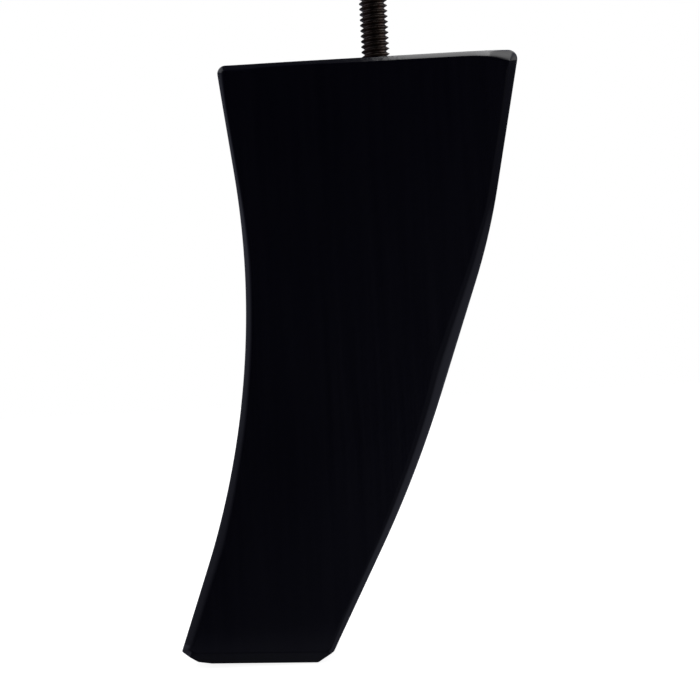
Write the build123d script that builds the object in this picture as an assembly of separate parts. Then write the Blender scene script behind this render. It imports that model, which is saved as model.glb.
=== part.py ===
from build123d import *
import math
import os

# Wooden furniture leg with a hanger bolt standing out of its top.
# Sizes are in millimetres. The origin is where the bolt's axis meets the top face.
# +Z runs up the bolt, +X points to the convex back of the leg, and -Y to its flat front face.

# Outline of the leg, seen from its flat face
leg_height = 152.4
top_width = 77.0
foot_width = 38.4
leg_thickness = 44.5
# How far the toe stands out past the top, and the bolt's axis past the middle of the top
toe_kick = 17.9
bolt_offset = 1.7
# Fall of the sole from the toe to the heel, in degrees
sole_slope = 2.1

# Bend of the hollow side: depth below the top, inset from the top's edge and radius
hollow_drop = 78.3
hollow_inset = 9.1
hollow_radius = 216.0
# Upper bend of the convex side
knee_drop = 46.7
knee_inset = 9.8
knee_radius = 168.0
# Lower bend of the convex side, placed by its height above the middle of the sole
calf_rise = 46.2
calf_inset = 31.6
calf_radius = 300.0

# Eased edges, the radius they leave on the top corners of the flat faces, and the sole's chamfer
arris = 1.4
corner_inner_radius = 0.9
sole_chamfer_height = 3.2
sole_chamfer_angle = 37.0

# Hanger bolt: machine end, plain neck and wood-screw end
stud_diameter = 7.6
stud_length = 22.2
stud_end_chamfer = 1.0
neck_diameter = 6.6
neck_length = 4.0
screw_diameter = 7.2
screw_length = 28.0
point_length = 7.0
point_diameter = 1.0

# Room around the bolt in its hole
bolt_clearance = 0.05


# Arc that rounds a corner of the outline, limited by the sides that meet there
def bend(before, corner, after, radius):
    turn = (corner - before).get_angle(after - corner)
    room = 0.95 * min((before - corner).length, (after - corner).length)
    reach = min(radius * math.tan(math.radians(turn / 2)), room)
    start = corner + (before - corner).normalized() * reach
    end = corner + (after - corner).normalized() * reach
    return TangentArc(start, end, tangent=corner - before)


# Corners of the outline, as X and height
top_front = Vector(-top_width / 2 - bolt_offset, 0)
top_back = Vector(top_width / 2 - bolt_offset, 0)
along_sole = Vector(1, 0).rotate(Axis.Z, -sole_slope)
up_sole = Vector(0, 1).rotate(Axis.Z, -sole_slope)
sole_middle = Vector(top_front.X - toe_kick + along_sole.X * foot_width / 2, -leg_height)
toe = sole_middle - along_sole * (foot_width / 2)
heel = sole_middle + along_sole * (foot_width / 2)
hollow = Vector(top_front.X + hollow_inset, -hollow_drop)
knee = Vector(top_back.X - knee_inset, -knee_drop)
calf = Vector(top_back.X - calf_inset, calf_rise - leg_height)
shin = (knee + calf) * 0.5

# Ends of the sole chamfer on the hollow and convex sides, which meet the sole at the same angle
chamfer_run = sole_chamfer_height / math.tan(math.radians(sole_chamfer_angle))
toe_upper = toe + (hollow - toe) * (sole_chamfer_height / (hollow - toe).dot(up_sole))
toe_lower = toe_upper - up_sole * sole_chamfer_height + along_sole * chamfer_run
heel_upper = heel + (calf - heel) * (sole_chamfer_height / (calf - heel).dot(up_sole))
heel_lower = heel_upper - up_sole * sole_chamfer_height - along_sole * chamfer_run

# Closed outline: hollow side, sole, then the convex side with its two bends
hollow_arc = bend(top_front, hollow, toe_upper, hollow_radius)
calf_arc = bend(heel_upper, calf, shin, calf_radius)
knee_arc = bend(shin, knee, top_back, knee_radius)
outline = [
    Line(top_front, hollow_arc @ 0),
    hollow_arc,
    Line(hollow_arc @ 1, toe_upper),
    Line(toe_upper, toe_lower),
    Line(toe_lower, heel_lower),
    Line(heel_lower, heel_upper),
    Line(heel_upper, calf_arc @ 0),
    calf_arc,
    Line(calf_arc @ 1, knee_arc @ 0),
    knee_arc,
    Line(knee_arc @ 1, top_back),
    Line(top_back, top_front),
]
profile = make_face(outline)
profile = fillet(profile.vertices().sort_by(Axis.Y)[-2:], arris + corner_inner_radius)

# Sawn blank with the edges of its two flat faces eased, from the toe over the top to the heel
leg = extrude(Plane.XZ * profile, amount=leg_thickness / 2, both=True)
face_edges = leg.faces().filter_by(Axis.Y).edges()
leg = chamfer(face_edges.sort_by(Axis.Z)[6:], arris)

# Sole chamfer along the two flat faces, cut square to the sole
sole_middle_3d = Vector(sole_middle.X, 0, sole_middle.Y)
across_sole = Plane(sole_middle_3d, x_dir=(0, 1, 0), z_dir=(along_sole.X, 0, along_sole.Y))
chamfer_section = make_face(
    Polyline(
        (-leg_thickness / 2, sole_chamfer_height),
        (chamfer_run - leg_thickness / 2, 0),
        (-leg_thickness / 2, 0),
        close=True,
    )
)
chamfer_cut = extrude(across_sole * chamfer_section, amount=2 * foot_width, both=True)
leg -= chamfer_cut
leg -= mirror(chamfer_cut, Plane.XZ)

# Bolt, turned about its axis from the end of the stud to the tip of the screw
stud_r = stud_diameter / 2
neck_r = neck_diameter / 2
screw_r = screw_diameter / 2
point_r = point_diameter / 2
screw_end = neck_length + screw_length
bolt_section = make_face(
    Polyline(
        (0, stud_length),
        (stud_r - stud_end_chamfer, stud_length),
        (stud_r, stud_length - stud_end_chamfer),
        (stud_r, 0),
        (neck_r, neck_r - stud_r),
        (neck_r, -neck_length),
        (screw_r, neck_r - screw_r - neck_length),
        (screw_r, point_length - screw_end),
        (point_r, -screw_end),
        (0, -screw_end),
        close=True,
    )
)
hanger_bolt = revolve(Plane.XZ * bolt_section, Axis.Z)

# Stepped blind hole that the bolt stands in, one clearance larger all round
mouth_r = stud_r + bolt_clearance
pilot_r = screw_r + bolt_clearance
pilot_end = screw_end + bolt_clearance
hole_section = make_face(
    Polyline(
        (0, 0),
        (mouth_r, 0),
        (mouth_r, -neck_length),
        (pilot_r, -neck_length),
        (pilot_r, point_length - pilot_end),
        (point_r + bolt_clearance, -pilot_end),
        (0, -pilot_end),
        close=True,
    )
)
leg -= revolve(Plane.XZ * hole_section, Axis.Z)

os.makedirs("parts", exist_ok=True)
export_step(leg, "parts/leg.step")
export_step(hanger_bolt, "parts/hanger_bolt.step")
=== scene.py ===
import bpy
import bmesh
import math
from mathutils import Matrix, Vector


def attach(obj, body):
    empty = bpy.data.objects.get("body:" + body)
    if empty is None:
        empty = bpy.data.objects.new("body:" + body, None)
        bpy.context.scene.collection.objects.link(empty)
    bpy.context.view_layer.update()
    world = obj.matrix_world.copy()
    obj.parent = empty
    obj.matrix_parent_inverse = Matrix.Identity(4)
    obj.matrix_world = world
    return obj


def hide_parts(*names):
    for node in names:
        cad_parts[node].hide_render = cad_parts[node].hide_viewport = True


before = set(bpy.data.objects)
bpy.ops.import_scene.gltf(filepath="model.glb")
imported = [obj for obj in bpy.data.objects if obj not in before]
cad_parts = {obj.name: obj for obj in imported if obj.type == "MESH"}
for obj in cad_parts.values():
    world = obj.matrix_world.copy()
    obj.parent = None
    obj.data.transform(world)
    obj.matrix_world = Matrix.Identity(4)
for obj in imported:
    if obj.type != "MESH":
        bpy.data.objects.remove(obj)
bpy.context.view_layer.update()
mm = 0.001


# small helpers for the node trees
def newTree(name):
    mat = bpy.data.materials.new(name)
    mat.use_nodes = True
    mat.node_tree.nodes.clear()
    return mat, mat.node_tree


def addNode(tree, kind, **settings):
    node = tree.nodes.new(kind)
    for key, value in settings.items():
        if hasattr(node, key):
            setattr(node, key, value)
        else:
            node.inputs[key].default_value = value
    return node


def wire(tree, *ends):
    for source, target in zip(ends[::2], ends[1::2]):
        tree.links.new(source, target)


def mathNode(tree, operation, first, second=0):
    node = addNode(tree, "ShaderNodeMath", operation=operation)
    for socket, value in zip(node.inputs, (first, second)):
        if isinstance(value, (int, float)):
            socket.default_value = value
        else:
            tree.links.new(value, socket)
    return node.outputs[0]


def product(tree, *values):
    total = values[0]
    for value in values[1:]:
        total = mathNode(tree, "MULTIPLY", total, value)
    return total


# ramp from low to high, given as low, high, level at low, level at high
def ramp(tree, value, span, smooth=False):
    node = addNode(tree, "ShaderNodeMapRange")
    if smooth:
        node.interpolation_type = "SMOOTHSTEP"
    tree.links.new(value, node.inputs["Value"])
    for name, number in zip(("From Min", "From Max", "To Min", "To Max"), span):
        node.inputs[name].default_value = number
    return node.outputs["Result"]


# goes from one level to another as the share goes from 0 to 1
def crossFade(tree, start, end, share):
    rest = mathNode(tree, "SUBTRACT", 1.0, share)
    return mathNode(tree, "ADD", product(tree, end, share), product(tree, start, rest))


def mixColours(tree, first, second, share):
    node = addNode(tree, "ShaderNodeMix", data_type="RGBA")
    node.inputs["A"].default_value = (*first, 1)
    node.inputs["B"].default_value = (*second, 1)
    tree.links.new(share, node.inputs["Factor"])
    return node.outputs["Result"]


# black lacquer over fine straight grain
lacquer = {
    "shade": (0.0012, 0.0011, 0.0044),
    "worn": (0.0040, 0.0037, 0.0075),
    "wornRamp": (0.35, 0.75, 0.0, 0.6),
    "roughRamp": (0.3, 0.7, 0.09, 0.14),
    "ior": 1.5,
    "grainScale": (420, 420, 14),
    "grain": {"Scale": 1.0, "Detail": 4.0, "Roughness": 0.55},
    "cloud": {"Scale": 38.0, "Detail": 3.0, "Roughness": 0.5},
    "peel": {"Scale": 520.0, "Detail": 1.0},
    "peelHeight": 0.35,
    "bump": {"Strength": 0.15, "Distance": 0.0002},
}


def makeLacquer():
    s = lacquer
    mat, tree = newTree("blackLacquer")
    out = addNode(tree, "ShaderNodeOutputMaterial")
    coat = addNode(tree, "ShaderNodeBsdfPrincipled", IOR=s["ior"])
    coords = addNode(tree, "ShaderNodeTexCoord")
    stretch = addNode(tree, "ShaderNodeMapping", Scale=s["grainScale"])
    grain = addNode(tree, "ShaderNodeTexNoise", **s["grain"])
    cloud = addNode(tree, "ShaderNodeTexNoise", **s["cloud"])
    peel = addNode(tree, "ShaderNodeTexNoise", **s["peel"])
    bump = addNode(tree, "ShaderNodeBump", **s["bump"])
    tone = mixColours(tree, s["shade"], s["worn"], ramp(tree, grain.outputs["Fac"], s["wornRamp"]))
    peelHeight = product(tree, peel.outputs["Fac"], s["peelHeight"])
    height = mathNode(tree, "ADD", grain.outputs["Fac"], peelHeight)
    wire(
        tree,
        coords.outputs["Object"], stretch.inputs["Vector"],
        stretch.outputs["Vector"], grain.inputs["Vector"],
        coords.outputs["Object"], cloud.inputs["Vector"],
        coords.outputs["Object"], peel.inputs["Vector"],
        tone, coat.inputs["Base Color"],
        ramp(tree, cloud.outputs["Fac"], s["roughRamp"]), coat.inputs["Roughness"],
        height, bump.inputs["Height"],
        bump.outputs["Normal"], coat.inputs["Normal"],
        coat.outputs["BSDF"], out.inputs["Surface"],
    )
    return mat


# oxidised steel, brownish black in lighter and darker patches
steel = {
    "dark": (0.088, 0.056, 0.049),
    "light": (0.144, 0.127, 0.110),
    "lightRamp": (0.35, 0.7, 0.0, 1.0),
    "roughRamp": (0.3, 0.7, 0.30, 0.46),
    "patches": {"Scale": 900.0, "Detail": 4.0, "Roughness": 0.6},
    "grit": {"Scale": 4200.0, "Detail": 2.0},
    "bump": {"Strength": 0.12, "Distance": 0.00005},
}


def makeSteel():
    s = steel
    mat, tree = newTree("darkSteel")
    out = addNode(tree, "ShaderNodeOutputMaterial")
    metal = addNode(tree, "ShaderNodeBsdfPrincipled", Metallic=1.0)
    coords = addNode(tree, "ShaderNodeTexCoord")
    patches = addNode(tree, "ShaderNodeTexNoise", **s["patches"])
    grit = addNode(tree, "ShaderNodeTexNoise", **s["grit"])
    bump = addNode(tree, "ShaderNodeBump", **s["bump"])
    tone = mixColours(tree, s["dark"], s["light"], ramp(tree, patches.outputs["Fac"], s["lightRamp"]))
    wire(
        tree,
        coords.outputs["Object"], patches.inputs["Vector"],
        coords.outputs["Object"], grit.inputs["Vector"],
        tone, metal.inputs["Base Color"],
        ramp(tree, patches.outputs["Fac"], s["roughRamp"]), metal.inputs["Roughness"],
        grit.outputs["Fac"], bump.inputs["Height"],
        bump.outputs["Normal"], metal.inputs["Normal"],
        metal.outputs["BSDF"], out.inputs["Surface"],
    )
    return mat


blackLacquer = makeLacquer()
darkSteel = makeSteel()
print("materials made")

# distances in mm within which points are merged, cut or taken as level
weld = {"piece": 1e-7, "rail": 1e-3, "cut": 1e-5, "same": 0.01}


# turns a finished bmesh into a piece that rides with the part
def finishPiece(bm, name, mat, node):
    bmesh.ops.remove_doubles(bm, verts=bm.verts, dist=weld["piece"])
    bmesh.ops.recalc_face_normals(bm, faces=bm.faces)
    bmesh.ops.scale(bm, vec=(mm, mm, mm), verts=bm.verts)
    for face in bm.faces:
        face.smooth = True
    mesh = bpy.data.meshes.new(name)
    bm.to_mesh(mesh)
    bm.free()
    piece = bpy.data.objects.new(name, mesh)
    bpy.context.scene.collection.objects.link(piece)
    mesh.materials.append(mat)
    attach(piece, "root")
    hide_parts(node)
    return piece


def allOf(bm):
    return bm.verts[:] + bm.edges[:] + bm.faces[:]


def vertsIn(geom):
    return [item for item in geom if isinstance(item, bmesh.types.BMVert)]


def edgesIn(geom):
    return [item for item in geom if isinstance(item, bmesh.types.BMEdge)]


def edgesAround(verts):
    return list(dict.fromkeys(edge for v in verts for edge in v.link_edges))


# straight run and rounded bend of a rail, drawn by spinning its last vertex
def runTo(bm, vert, end, steps):
    move = (end - vert.co) / steps
    run = bmesh.ops.spin(bm, geom=[vert], cent=vert.co, axis=(0, 1, 0), dvec=move, angle=0, steps=steps)
    return run["geom_last"][0]


def bendRound(bm, vert, corner, nextCorner, radius, lineSteps, arcSteps):
    before = (corner - vert.co).normalized()
    after = (nextCorner - corner).normalized()
    turn = before.angle(after)
    side = 1 if before.cross(after).y < 0 else -1  # 1 where the rail turns from +X towards +Z
    vert = runTo(bm, vert, corner - before * radius * math.tan(turn / 2), lineSteps)
    middle = vert.co + Vector((-before.z, 0, before.x)) * side * radius
    arc = bmesh.ops.spin(bm, geom=[vert], cent=middle, axis=(0, -side, 0), angle=turn, steps=arcSteps)
    return arc["geom_last"][0]


# sabre leg, in mm: X and Z of its corners, bends as corner X, Z and radius
legShape = {
    "front": -22.25,
    "thickness": 44.5,
    "topMiddle": (0.0, 0.0),
    "topHollow": (-40.2, 0.0, 2.1),
    "topBack": (36.8, 0.0, 2.35),
    "topInner": ((-37.84, -2.1), (34.0, -3.2)),  # where the eased edges of each top corner meet
    "hollow": (-31.1, -78.3, 216.0),
    "knee": (27.0, -46.7, 168.0),
    "calf": (5.2, -106.2, 300.0),
    # chamfers of the sole from the top down, the toe's with a softer foot
    "toe": ((-56.84, -148.24), (-52.95, -151.38), (-49.60, -152.01)),
    "heel": ((-18.06, -149.96), (-22.42, -153.00)),
    # steps of the straight run up to each corner, and of the bend there
    "steps": {
        "topHollow": (12, 8), "hollow": (9, 36), "toe": 9,
        "calf": (10, 16), "knee": (9, 9), "topBack": (10, 8), "topMiddle": 12,
    },
    "soleInset": 4.25,
    "soleRise": 3.2,
    "soleEase": 0.30,
    "soleEaseSegments": 2,
    "topBorder": 0.6,  # narrow ring that keeps the shading of the flat top even
    # radius and Z of the hole's rings, from its rim down
    "hole": ((3.85, 0.0), (3.85, -4.0), (3.65, -4.0), (3.65, -25.05), (0.55, -32.05)),
    "holeSegments": 48,
    "holeZone": 4.0,  # radius within which an edge belongs to the hole
    "softTurn": 0.25,  # least turn, in radians, of an edge that is softened at the sole
    "sharpTurn": 0.5,  # and of one that stays sharp in the hole
    # widths of the hand-eased edges: along the two sides by Z, along the top by X
    "hollowEase": (
        (-150, 1.85), (-141, 1.95), (-131, 2.00), (-121, 2.15), (-111, 1.85), (-101, 1.60), (-80, 1.50),
        (-60, 1.42), (-50, 1.42), (-40, 1.15), (-30, 0.90), (-10, 0.86), (-5, 1.05), (0, 1.40),
    ),
    "backEase": (
        (-150, 1.10), (-141, 1.42), (-131, 1.48), (-121, 1.64), (-111, 1.90), (-101, 2.08), (-90, 2.34),
        (-80, 2.75), (-70, 2.58), (-60, 2.28), (-50, 2.06), (-40, 1.52), (-30, 1.48), (-20, 1.42),
        (-10, 1.62), (-5, 1.80), (-2.8, 2.00), (0, 3.00),
    ),
    "topEase": (
        (-40, 1.40), (-37, 1.60), (-33, 1.60), (-27, 1.25), (-19, 1.15), (-5, 1.30),
        (22, 1.34), (26, 1.45), (29, 1.75), (31, 2.05), (34, 3.00),
    ),
    # section of the eased edge, as shares of its width: reach across the face and depth below it
    "easeSection": (
        (0.0, 1.0), (0.14, 0.81), (0.30, 0.635), (0.47, 0.46), (0.65, 0.285),
        (0.83, 0.14), (1.01, 0.045), (1.22, 0.008), (1.45, 0.0),
    ),
    "sideSplit": (-8, 0.2),  # line between the hollow and the convex side: X at the top, lean
    "cornerZone": 1.3,  # reach of a top corner, as a share of its radius
    "cornerGap": 0.12,  # left between the ease and the point where the edges meet
    "easeLimit": 9.0,
    "easeCrowd": 0.1,  # share of a limited ease that its last steps are spread over
}


def easeAt(table, place):
    for (low, lowWidth), (high, highWidth) in zip(table, table[1:]):
        if place <= high:
            return lowWidth + (highWidth - lowWidth) * max(0, place - low) / (high - low)
    return table[-1][1]


# width of the eased edge at a point of the outline
def easeWidth(point):
    if point.z > -weld["same"]:
        return easeAt(legShape["topEase"], point.x)
    splitX, lean = legShape["sideSplit"]
    onHollow = point.x < splitX + lean * point.z
    return easeAt(legShape["hollowEase" if onHollow else "backEase"], point.z)


# direction in which the ease runs in from a point, and how far it may go:
# at the top corners, up to where the edges meet
def easeRun(point, across):
    s = legShape
    for (x, z, radius), (innerX, innerZ) in zip((s["topHollow"], s["topBack"]), s["topInner"]):
        if math.hypot(point.x - x, point.z - z) < s["cornerZone"] * radius:
            run = Vector((innerX - point.x, 0, innerZ - point.z))
            return run.normalized(), run.length - s["cornerGap"]
    return across, s["easeLimit"]


# insets a flat face in steps and leans the steps back into an eased edge
def easeFace(bm, face, inward):
    section = legShape["easeSection"]
    crowd = legShape["easeCrowd"]
    insets = len(section) - 1
    loops = [face.verts[:]]
    for inset in range(insets):
        bmesh.ops.inset_individual(bm, faces=[face], thickness=1 / insets, use_even_offset=True)
        loops.append(face.verts[:])
    for outer, *others in zip(*loops):
        start = outer.co.copy()
        width = easeWidth(start)
        run, limit = easeRun(start, others[-1].co - start)
        for v, (reach, depth) in zip((outer, *others), section):
            along = min(width * reach, limit * (1 - crowd + crowd * reach / section[-1][0]))
            v.co = start + run * along + Vector((0, inward * width * depth, 0))


# point of the outline on the leg's front
def at(point):
    return Vector((point[0], legShape["front"], point[1]))


# outline drawn from the middle of the top: hollow side, sole, convex side
def drawOutline(bm):
    s = legShape

    def bend(vert, name, nextPoint):
        return bendRound(bm, vert, at(s[name]), at(nextPoint), s[name][2], *s["steps"][name])

    vert = bm.verts.new(at(s["topMiddle"]))
    vert = bend(vert, "topHollow", s["hollow"])
    vert = bend(vert, "hollow", s["toe"][0])
    vert = runTo(bm, vert, at(s["toe"][0]), s["steps"]["toe"])
    for corner in (*s["toe"][1:], s["heel"][1], s["heel"][0]):
        vert = runTo(bm, vert, at(corner), 1)
    vert = bend(vert, "calf", s["knee"])
    vert = bend(vert, "knee", s["topBack"])
    vert = bend(vert, "topBack", s["topMiddle"])
    runTo(bm, vert, at(s["topMiddle"]), s["steps"]["topMiddle"])
    bmesh.ops.remove_doubles(bm, verts=bm.verts, dist=weld["rail"])


# blank of even thickness, its two flat faces eased all round
def growBlank(bm):
    front = bmesh.ops.contextual_create(bm, geom=bm.edges[:])["faces"][0]
    grown = bmesh.ops.extrude_face_region(bm, geom=[front], use_keep_orig=True)["geom"]
    bmesh.ops.translate(bm, vec=(0, legShape["thickness"], 0), verts=vertsIn(grown))
    rear = max((f for f in grown if isinstance(f, bmesh.types.BMFace)), key=lambda f: len(f.verts))
    easeFace(bm, front, 1)
    easeFace(bm, rear, -1)


# chamfers cut along the front and the rear of the sloping sole
def cutSole(bm):
    s = legShape
    soleStart, soleEnd = s["toe"][-1], s["heel"][1]
    along = (at(soleEnd) - at(soleStart)).normalized()
    downSole = Vector((along.z, 0, -along.x))
    cutEdges = []
    for sign in (-1, 1):
        edgeY = sign * (s["thickness"] / 2 - s["soleInset"])
        sliced = bmesh.ops.bisect_plane(
            bm, geom=allOf(bm), dist=weld["cut"], clear_outer=True,
            plane_co=(soleStart[0], edgeY, soleStart[1]),
            plane_no=downSole * s["soleInset"] + Vector((0, sign * s["soleRise"], 0)),
        )
        rim = edgesIn(sliced["geom_cut"])
        bmesh.ops.contextual_create(bm, geom=rim)
        cutEdges += rim
    return cutEdges


# bolt hole in the top, sunk ring by ring from its rim
def sinkHole(bm):
    s = legShape
    top = [f for f in bm.faces if all(abs(v.co.z) < weld["same"] for v in f.verts)]
    bmesh.ops.inset_region(bm, faces=top, thickness=s["topBorder"], use_even_offset=True)
    bmesh.ops.delete(bm, geom=top, context="FACES")
    rimEdges = [e for e in bm.edges if e.is_boundary]
    rim = bmesh.ops.create_circle(bm, segments=s["holeSegments"], radius=s["hole"][0][0])
    loop = edgesAround(rim["verts"])
    bmesh.ops.bridge_loops(bm, edges=rimEdges + loop)
    for (radius, z), (nextRadius, nextZ) in zip(s["hole"], s["hole"][1:]):
        sunk = bmesh.ops.extrude_edge_only(bm, edges=loop)["geom"]
        loop = edgesIn(sunk)
        bmesh.ops.scale(bm, vec=(nextRadius / radius, nextRadius / radius, 1), verts=vertsIn(sunk))
        bmesh.ops.translate(bm, vec=(0, 0, nextZ - z), verts=vertsIn(sunk))
    bmesh.ops.contextual_create(bm, geom=loop)


def makeLeg():
    s = legShape
    bm = bmesh.new()
    soft = bm.edges.layers.float.new("bevel_weight_edge")
    drawOutline(bm)
    growBlank(bm)
    cutEdges = cutSole(bm)
    sinkHole(bm)

    # edges of the sole are softened a little, those of the hole stay sharp
    for edge in bm.edges:
        a, b = edge.verts
        low = max(a.co.z, b.co.z) < s["toe"][0][1] + weld["same"]
        across = abs(a.co.x - b.co.x) < weld["same"]
        inHole = max(math.hypot(v.co.x, v.co.y) for v in edge.verts) < s["holeZone"]
        if edge in cutEdges or (low and across and edge.calc_face_angle(0) > s["softTurn"]):
            edge[soft] = 1.0
        elif inHole and edge.calc_face_angle(0) > s["sharpTurn"]:
            edge.smooth = False

    piece = finishPiece(bm, "sabreLeg", blackLacquer, "leg")
    soften = piece.modifiers.new("softSole", "BEVEL")
    soften.limit_method = "WEIGHT"
    soften.width = s["soleEase"] * mm
    soften.segments = s["soleEaseSegments"]
    soften.profile = 0.5
    soften.use_clamp_overlap = False
    flat = piece.modifiers.new("flatFaces", "WEIGHTED_NORMAL")
    flat.weight = 100  # the largest face at a vertex sets its normal
    flat.keep_sharp = True
    return piece


leg = makeLeg()
print("leg made", len(leg.data.polygons))


# hanger bolt, in mm: machine thread above, plain neck, wood-screw thread with a point below
boltShape = {
    "pitch": 1.411,
    "crest": 3.68,
    "root": 2.88,
    "crestHalf": 0.06,
    "rootWidth": 0.25,
    "crestAtLeft": -0.40,  # height of a crest on the -X side
    "top": 22.2,
    "endChamfer": 1.0,
    "threadFoot": -0.6,
    "neck": 3.2,
    "neckStep": 0.4,  # height over which the neck meets each thread
    "neckFoot": -4.3,
    "screwPitch": 3.2,
    "screwCrest": 3.59,
    "screwRoot": 2.5,
    "screwCrestHalf": 0.14,
    "screwFlank": 0.75,
    "screwCrestAtLeft": 0.0,
    "pointFrom": -25.0,
    "tip": -32.0,
    "tipShare": 0.08,  # width left at the tip
    "steps": 40,
    "sharpTurn": 30,  # degrees
}


# one turn's outline, wound up as a helix between two heights and cut flat there
def windThread(bm, outline, pitch, crestLeft, low, high):
    steps = boltShape["steps"]
    turns = math.ceil((high - low) / pitch) + 2
    start = crestLeft + math.floor((low - crestLeft) / pitch - 1) * pitch
    verts = [bm.verts.new((-r, 0, start + z)) for r, z in outline]
    edges = [bm.edges.new(pair) for pair in zip(verts, verts[1:])]
    bmesh.ops.spin(
        bm, geom=verts + edges, cent=(0, 0, 0), axis=(0, 0, 1), dvec=(0, 0, pitch / steps),
        angle=2 * math.pi * turns, steps=steps * turns,
    )
    bmesh.ops.remove_doubles(bm, verts=bm.verts, dist=weld["rail"])
    for height, sign in ((low, -1), (high, 1)):
        bmesh.ops.bisect_plane(
            bm, geom=allOf(bm), dist=weld["cut"], clear_outer=True,
            plane_co=(0, 0, height), plane_no=(0, 0, sign),
        )


# open edges of a bmesh that lie at one height
def openEdges(bm, z):
    rims = [e for e in bm.edges if e.is_boundary]
    return [e for e in rims if all(abs(v.co.z - z) < weld["same"] for v in e.verts)]


# machine thread with a chamfer turned on its end
def windMachineEnd(bm):
    s = boltShape
    half = s["crestHalf"]
    flank = (s["pitch"] - 2 * half - s["rootWidth"]) / 2
    outline = (
        (s["crest"], -half), (s["crest"], half), (s["root"], half + flank),
        (s["root"], half + flank + s["rootWidth"]), (s["crest"], s["pitch"] - half),
    )
    windThread(bm, outline, s["pitch"], s["crestAtLeft"], s["threadFoot"], s["top"])
    for v in bm.verts:
        reach = s["crest"] - max(0.0, v.co.z - (s["top"] - s["endChamfer"]))
        across = math.hypot(v.co.x, v.co.y)
        if across > reach:
            v.co.x *= reach / across
            v.co.y *= reach / across
    bmesh.ops.contextual_create(bm, geom=openEdges(bm, s["top"]))


# wood-screw thread that tapers to a point
def windScrewEnd(bm):
    s = boltShape
    half = s["screwCrestHalf"]
    outline = (
        (s["screwCrest"], -half), (s["screwCrest"], half), (s["screwRoot"], half + s["screwFlank"]),
        (s["screwRoot"], s["screwPitch"] - half - s["screwFlank"]),
        (s["screwCrest"], s["screwPitch"] - half),
    )
    windThread(bm, outline, s["screwPitch"], s["screwCrestAtLeft"], s["tip"], s["neckFoot"])
    for v in bm.verts:
        share = min(1.0, max(0.0, (v.co.z - s["tip"]) / (s["pointFrom"] - s["tip"])))
        taper = s["tipShare"] + (1 - s["tipShare"]) * share
        v.co.x *= taper
        v.co.y *= taper
    bmesh.ops.contextual_create(bm, geom=openEdges(bm, s["tip"]))


def makeBolt():
    s = boltShape
    bm = bmesh.new()
    windMachineEnd(bm)
    screwBm = bmesh.new()
    windScrewEnd(screwBm)
    screwMesh = bpy.data.meshes.new("screwEnd")
    screwBm.to_mesh(screwMesh)
    screwBm.free()
    bm.from_mesh(screwMesh)
    bpy.data.meshes.remove(screwMesh)

    # plain neck joins the two threads
    neckTop = s["threadFoot"] - s["neckStep"]
    neckEnd = s["neckFoot"] + s["neckStep"]
    ring = bmesh.ops.create_circle(
        bm, segments=s["steps"], radius=s["neck"], matrix=Matrix.Translation((0, 0, neckTop)),
    )
    loop = edgesAround(ring["verts"])
    bmesh.ops.bridge_loops(bm, edges=openEdges(bm, s["threadFoot"]) + loop)
    sunk = bmesh.ops.extrude_edge_only(bm, edges=loop)["geom"]
    bmesh.ops.translate(bm, vec=(0, 0, neckEnd - neckTop), verts=vertsIn(sunk))
    bmesh.ops.bridge_loops(bm, edges=openEdges(bm, s["neckFoot"]) + edgesIn(sunk))
    piece = finishPiece(bm, "threadedBolt", darkSteel, "hanger_bolt")
    piece.data.set_sharp_from_angle(angle=math.radians(s["sharpTurn"]))
    return piece


bolt = makeBolt()
print("bolt made", len(bolt.data.polygons))


# floor and studio, in metres
studio = {
    "floorHalf": 3.0,
    "floorHeight": legShape["heel"][1][1] * mm,
    "floorWhite": 0.90,
    "floorShade": (0.80, 0.80, 0.80),
    "room": 0.40,
    "white": (1, 1, 1),
    "mirrorTint": (0.94, 0.97, 1.22),
    "topBox": {
        "left": -0.001, "right": 0.065, "front": -0.16, "back": 0.22, "height": 0.22, "radiance": 3.0,
    },
}

# painted reflection of the floor as the leg mirrors it, with painted shadow under the foot: ramps by
# distance, X, Y or direction from the middle of the foot
paintedFloorReflectionRamps = {
    "foot": (-0.038, 0),
    "near": (0.02, 0.10, 0.62, 1.0),
    # painted shadow in the floor's reflection, right under the foot
    "paintedShadowUnder": (0.018, 0.026, 0.0, 1.0),
    "around": (0.12, 0.70, 0.33, 0.065),
    "left": (-0.20, -0.04, 0.31, 0.0),
    "clear": (-0.040, -0.025, 1.0, 0.0),  # of the foot's own front edge
    "lift": (-0.12, -0.045, 0.0, 0.05),
    "ahead": (-0.06, 0.09, 0.006, 0.075),
    "aheadLeft": (-0.75, -0.15, 0.12, 0.0),
    "footHalf": 0.017,
    "frontEdge": (0.017, 0.021, 0.010, 0.0225),  # how far the foot reaches forward, by X
    "turn": (-0.75, -0.10, 0.0, 1.0),
    "least": 0.012,
}
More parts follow.
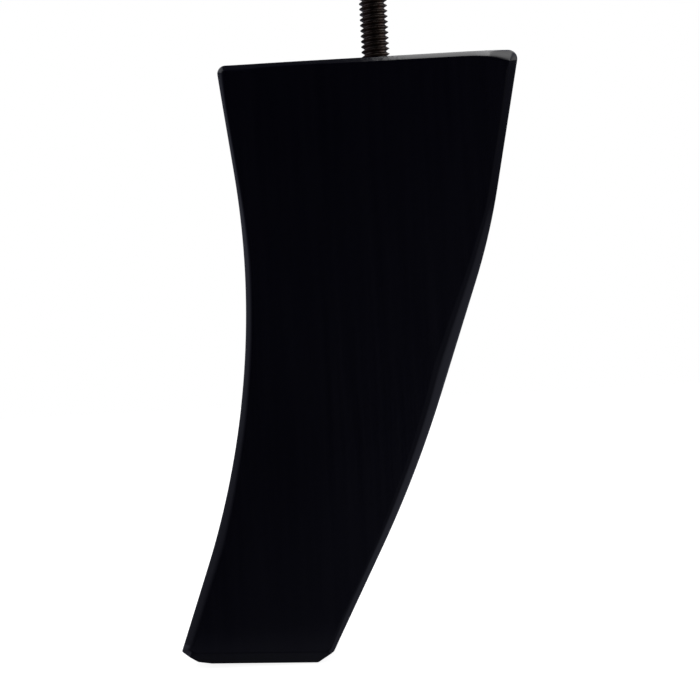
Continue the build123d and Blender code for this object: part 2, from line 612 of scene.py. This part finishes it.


# level of the floor's painted reflection: a painted pool of light beside the leg that fades outwards,
# and painted shade under the leg and in front of it
def paintedFloorReflection(tree):
    m = paintedFloorReflectionRamps
    coords = addNode(tree, "ShaderNodeTexCoord")
    fromFoot = addNode(tree, "ShaderNodeVectorMath", operation="SUBTRACT")
    fromFoot.inputs[1].default_value = (*m["foot"], studio["floorHeight"])
    away = addNode(tree, "ShaderNodeVectorMath", operation="LENGTH")
    split = addNode(tree, "ShaderNodeSeparateXYZ")
    wire(
        tree,
        coords.outputs["Object"], fromFoot.inputs[0],
        fromFoot.outputs["Vector"], away.inputs[0],
        fromFoot.outputs["Vector"], split.inputs["Vector"],
    )
    x, y, far = split.outputs["X"], split.outputs["Y"], away.outputs["Value"]
    spread = mathNode(tree, "MAXIMUM", ramp(tree, far, m["around"]), ramp(tree, x, m["left"]))
    # painted light beside the leg, with the painted shadow under the foot cut into it
    paintedLightBeside = product(tree, ramp(tree, far, m["near"], True), spread, ramp(tree, far, m["paintedShadowUnder"], True))
    # painted shade near the foot's own front edge
    clear = ramp(tree, y, m["clear"], True)
    lift = product(tree, ramp(tree, y, m["lift"], True), clear)
    ahead = mathNode(tree, "ADD", lift, ramp(tree, x, m["ahead"]))
    aheadLeft = ramp(tree, mathNode(tree, "DIVIDE", x, far), m["aheadLeft"])
    ahead = mathNode(tree, "MAXIMUM", ahead, product(tree, aheadLeft, clear))
    # direction from the nearest side of the foot, -1 straight ahead of it
    aside = mathNode(tree, "ABSOLUTE", x)
    pastSide = mathNode(tree, "MAXIMUM", mathNode(tree, "SUBTRACT", aside, m["footHalf"]), 0)
    pastFront = mathNode(tree, "ADD", y, ramp(tree, aside, m["frontEdge"]))
    sideSquare = product(tree, pastSide, pastSide)
    frontSquare = product(tree, pastFront, pastFront)
    past = mathNode(tree, "SQRT", mathNode(tree, "ADD", sideSquare, frontSquare))
    turn = ramp(tree, mathNode(tree, "DIVIDE", pastFront, past), m["turn"], True)
    return mathNode(tree, "ADD", crossFade(tree, ahead, paintedLightBeside, turn), m["least"])


def makeFloor():
    s = studio
    bm = bmesh.new()
    bmesh.ops.create_grid(bm, x_segments=1, y_segments=1, size=s["floorHalf"])
    bmesh.ops.translate(bm, vec=(0, 0, s["floorHeight"]), verts=bm.verts)
    mesh = bpy.data.meshes.new("floor")
    bm.to_mesh(mesh)
    bm.free()
    floor = bpy.data.objects.new("floor", mesh)
    bpy.context.scene.collection.objects.link(floor)
    mat, tree = newTree("paleFloor")
    out = addNode(tree, "ShaderNodeOutputMaterial")
    path = addNode(tree, "ShaderNodeLightPath")
    matt = addNode(tree, "ShaderNodeBsdfDiffuse", Color=(*s["floorShade"], 1))
    white = addNode(tree, "ShaderNodeEmission")
    both = addNode(tree, "ShaderNodeAddShader")
    # for glossy rays the floor is not lit but glows with its painted reflection: painted light beside
    # the leg and painted shadow under it
    mirrored = addNode(tree, "ShaderNodeEmission", Color=(*s["mirrorTint"], 1))
    pick = addNode(tree, "ShaderNodeMixShader")
    wire(
        tree,
        product(tree, path.outputs["Is Camera Ray"], s["floorWhite"]), white.inputs["Strength"],
        matt.outputs["BSDF"], both.inputs[0],
        white.outputs["Emission"], both.inputs[1],
        paintedFloorReflection(tree), mirrored.inputs["Strength"],
        path.outputs["Is Glossy Ray"], pick.inputs["Fac"],
        both.outputs["Shader"], pick.inputs[1],
        mirrored.outputs["Emission"], pick.inputs[2],
        pick.outputs["Shader"], out.inputs["Surface"],
    )
    mesh.materials.append(mat)


# what the leg mirrors in the room: ramps by X, Y or Z of the direction
roomMirror = {
    "sideHeight": (0.0, 0.17, 0.40, 0.14),
    "ceiling": (0.5, 0.95, 1.0, 0.4),
    "dimRight": (0.2, 1.0, 1.0, 0.15),
    "dimBack": (0.3, 0.9, 1.0, 0.5),
    "frontRight": (-0.16, 0.20, 0.006, 0.085),
    "frontLeft": (-0.75, -0.15, 0.12, 0.0),
    "turn": (-0.75, -0.10, 0.0, 1.0),
    "glowNear": (0.32, 0.46, 1.95, 0.55),
    "glowFar": (0.55, 0.85, 0.0, 0.55),
    "glowBack": (0.12, 0.40, 1.0, 0.5),
    "glowFoot": (0.0, 0.08, 0.0, 1.0),
    "glowStart": (0.05, 0.20, 0.0, 1.0),
    "leftGlow": (-0.45, -0.20, 0.75, 0.0),
    "leftGlowFoot": (0.22, 0.45, 0.0, 1.0),
    "leftGlowTop": (0.80, 0.95, 1.0, 0.0),
}


# level of the mirrored room, and its glow: pale at the sides, dimmer behind, dark on the camera's side,
# a soft glow on the right and a smaller one high on the left
def mirroredRoom(tree):
    m = roomMirror
    coords = addNode(tree, "ShaderNodeTexCoord")
    split = addNode(tree, "ShaderNodeSeparateXYZ")
    tree.links.new(coords.outputs["Generated"], split.inputs["Vector"])
    x, y, z = split.outputs["X"], split.outputs["Y"], split.outputs["Z"]
    around = product(
        tree, ramp(tree, z, m["sideHeight"]), ramp(tree, z, m["ceiling"]),
        ramp(tree, x, m["dimRight"]), ramp(tree, y, m["dimBack"]),
    )
    front = mathNode(
        tree, "MAXIMUM", ramp(tree, mathNode(tree, "SUBTRACT", x, z), m["frontRight"]),
        ramp(tree, x, m["frontLeft"]),
    )
    rightGlow = product(
        tree, mathNode(tree, "ADD", ramp(tree, x, m["glowNear"]), ramp(tree, x, m["glowFar"])),
        ramp(tree, y, m["glowBack"]), ramp(tree, z, m["glowFoot"], True),
        ramp(tree, x, m["glowStart"], True),
    )
    leftGlow = product(
        tree, ramp(tree, x, m["leftGlow"], True), ramp(tree, z, m["leftGlowFoot"], True),
        ramp(tree, z, m["leftGlowTop"], True),
    )
    glow = mathNode(tree, "ADD", rightGlow, leftGlow)
    turn = ramp(tree, y, m["turn"], True)
    return crossFade(tree, front, mathNode(tree, "ADD", around, glow), turn), glow


def makeRoom():
    s = studio
    world = bpy.data.worlds.new("studioRoom")
    bpy.context.scene.world = world
    world.use_nodes = True
    tree = world.node_tree
    tree.nodes.clear()
    out = addNode(tree, "ShaderNodeOutputWorld")
    path = addNode(tree, "ShaderNodeLightPath")
    white = addNode(tree, "ShaderNodeBackground", Color=(*s["white"], 1), Strength=1.0)
    soft = addNode(tree, "ShaderNodeBackground", Color=(*s["white"], 1), Strength=s["room"])
    mirrored = addNode(tree, "ShaderNodeBackground")
    level, glow = mirroredRoom(tree)
    pickMirror = addNode(tree, "ShaderNodeMixShader")
    pickCamera = addNode(tree, "ShaderNodeMixShader")
    wire(
        tree,
        mixColours(tree, s["mirrorTint"], s["white"], glow), mirrored.inputs["Color"],
        level, mirrored.inputs["Strength"],
        path.outputs["Is Glossy Ray"], pickMirror.inputs["Fac"],
        soft.outputs["Background"], pickMirror.inputs[1],
        mirrored.outputs["Background"], pickMirror.inputs[2],
        path.outputs["Is Camera Ray"], pickCamera.inputs["Fac"],
        pickMirror.outputs["Shader"], pickCamera.inputs[1],
        white.outputs["Background"], pickCamera.inputs[2],
        pickCamera.outputs["Shader"], out.inputs["Surface"],
    )


def makeTopBox():
    s = studio["topBox"]
    lamp = bpy.data.lights.new("topBox", "AREA")
    lamp.shape = "RECTANGLE"
    lamp.size = s["right"] - s["left"]
    lamp.size_y = s["back"] - s["front"]
    lamp.energy = s["radiance"] * math.pi * lamp.size * lamp.size_y
    box = bpy.data.objects.new("topBox", lamp)
    box.location = ((s["left"] + s["right"]) / 2, (s["front"] + s["back"]) / 2, s["height"])
    box.visible_camera = False
    bpy.context.scene.collection.objects.link(box)


makeFloor()
makeRoom()
makeTopBox()
print("studio made")


# camera, in mm and degrees: level, a little to the right, with a small tilt of the picture
view = {
    "aim": (-9.91, -22.25, -73.85),
    "distance": 598.5,
    "yaw": 2.4,
    "tilt": 3.05,
    "lens": 121.7,
    "sensor": 36,
}
eye = bpy.data.cameras.new("camera")
eye.lens = view["lens"]
eye.sensor_width = view["sensor"]
camera = bpy.data.objects.new("camera", eye)
bpy.context.scene.collection.objects.link(camera)
yaw = math.radians(view["yaw"])
place = Vector(view["aim"]) + view["distance"] * Vector((math.sin(yaw), -math.cos(yaw), 0))
camera.matrix_world = (
    Matrix.Translation(place * mm)
    @ Matrix.Rotation(yaw, 4, "Z")
    @ Matrix.Rotation(math.pi / 2, 4, "X")
    @ Matrix.Rotation(-math.radians(view["tilt"]), 4, "Z")
)
bpy.context.scene.camera = camera
bpy.context.scene.view_settings.view_transform = "Standard"
print("camera set")
